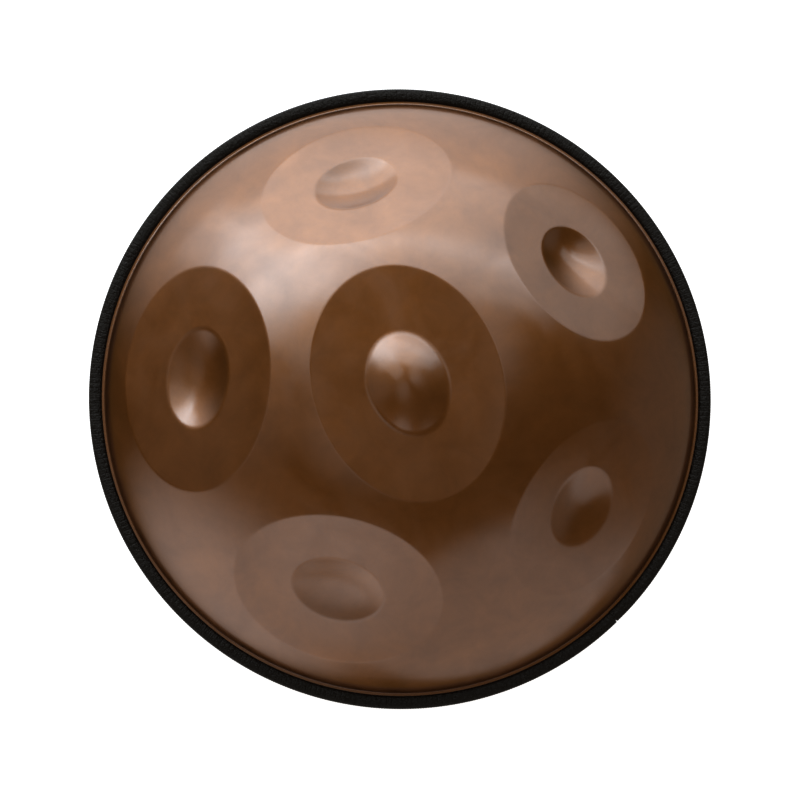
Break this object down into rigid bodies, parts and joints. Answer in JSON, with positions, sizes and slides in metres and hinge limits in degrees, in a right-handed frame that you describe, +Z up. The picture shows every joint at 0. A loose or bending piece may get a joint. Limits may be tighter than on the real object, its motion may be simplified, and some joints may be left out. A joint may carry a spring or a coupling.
{
  "type": "handpan",
  "caption": "Handpan: two bonded steel shells with a raised central note, a ring of oval tone fields, a port underneath and a ribbed edge trim.",
  "frame": {"origin": "centre of the flat ring under the instrument that stands on the floor", "axes": "+Z up through the central note; +Y towards the outer note opposite the player's side, +X to the player's right"},
  "size_m": [0.5598, 0.5598, 0.2282],
  "materials": {
    "bronze_steel": "heat-coloured bronze-brown steel, semi-gloss, with faint hand-worked mottling",
    "bronze_steel_underside": "the same heat-coloured steel, plain and semi-gloss",
    "adhesive": "cured epoxy, dull",
    "trim_rubber": "black, finely cross-ribbed, low sheen",
    "core_steel": "plain spring steel"
  },
  "bodies": {
    "root": {"top_shell": "bronze_steel", "bottom_shell": "bronze_steel_underside", "flange_glue": "adhesive", "edge_trim": "trim_rubber", "trim_steel_core": "core_steel"}
  },
  "joints": []
}
